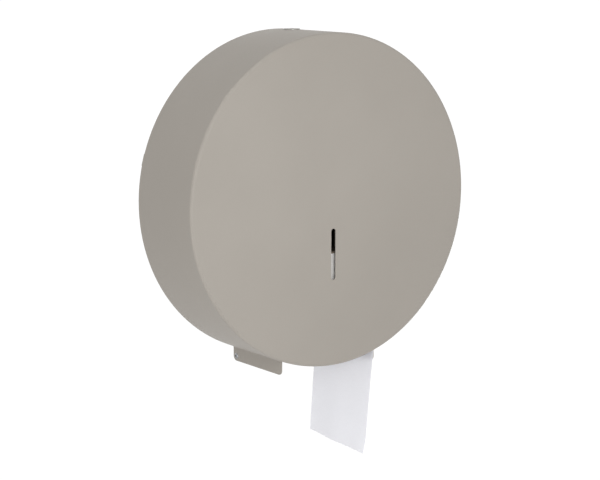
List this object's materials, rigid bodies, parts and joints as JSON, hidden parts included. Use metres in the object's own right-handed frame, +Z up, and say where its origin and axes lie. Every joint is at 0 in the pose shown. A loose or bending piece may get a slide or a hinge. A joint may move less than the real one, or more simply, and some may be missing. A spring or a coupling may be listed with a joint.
{
  "type": "jumbo toilet roll dispenser",
  "caption": "Wall-mounted round steel dispenser for jumbo toilet rolls: hinged lockable cover with sight slot, back plate with spindle, and a part-used roll hanging out.",
  "frame": {"origin": "on the wall plane, on the drum's axis (rear face of the back plate)", "axes": "+Z up, front of the drum faces -Y, +Y into the wall, +X to the right seen from the front"},
  "size_m": [0.4, 0.1172, 0.5232],
  "materials": {
    "coat": "fine matte powder coat",
    "zinc": "zinc plated",
    "lock_nickel": "satin nickel",
    "hub_plastic": "moulded",
    "nylon": "moulded",
    "card": "wound cardboard",
    "paper": "soft tissue paper"
  },
  "bodies": {
    "base": {"back_plate": "coat", "spindle_flange": "zinc", "spindle_rivets": "zinc", "spindle_axle": "zinc", "rear_axle_washer": "nylon", "front_axle_washer": "zinc", "axle_screw": "zinc", "hinge_washers": "nylon", "strike_bracket": "zinc", "strike_rivets": "zinc", "paper_tail": "paper"},
    "cover": {"front_panel": "coat", "cover_skirt": "coat", "hinge_rivets": "zinc", "lock_body": "lock_nickel", "lock_nut": "zinc"},
    "lock": {"lock_plug": "lock_nickel", "lock_cam": "zinc", "cam_screw": "zinc"},
    "hub": {"hub_sleeve": "hub_plastic"},
    "roll": {"roll_core": "card", "paper_roll": "paper"}
  },
  "joints": [
    {"name": "cover_hinge", "type": "hinge", "parent": "base", "child": "cover", "pos_m": [0, -0.0104, -0.1987], "axis": [1, 0, 0], "range_deg": [0, 90], "deforming": ["paper_tail"]},
    {"name": "lock_turn", "type": "hinge", "parent": "cover", "child": "lock", "pos_m": [0, -0.031, 0.19], "axis": [0, 0, -1], "range_deg": [0, 90]},
    {"name": "roll_turn", "type": "hinge", "parent": "base", "child": "roll", "pos_m": [0, -0.063, -0.024], "axis": [0, 1, 0], "continuous": true},
    {"name": "hub_turn", "type": "hinge", "parent": "base", "child": "hub", "pos_m": [0, -0.063, 0], "axis": [0, 1, 0], "continuous": true}
  ],
  "couplings": [
    {"joint": "hub_turn", "follows": "roll_turn", "ratio": 2.7737}
  ]
}
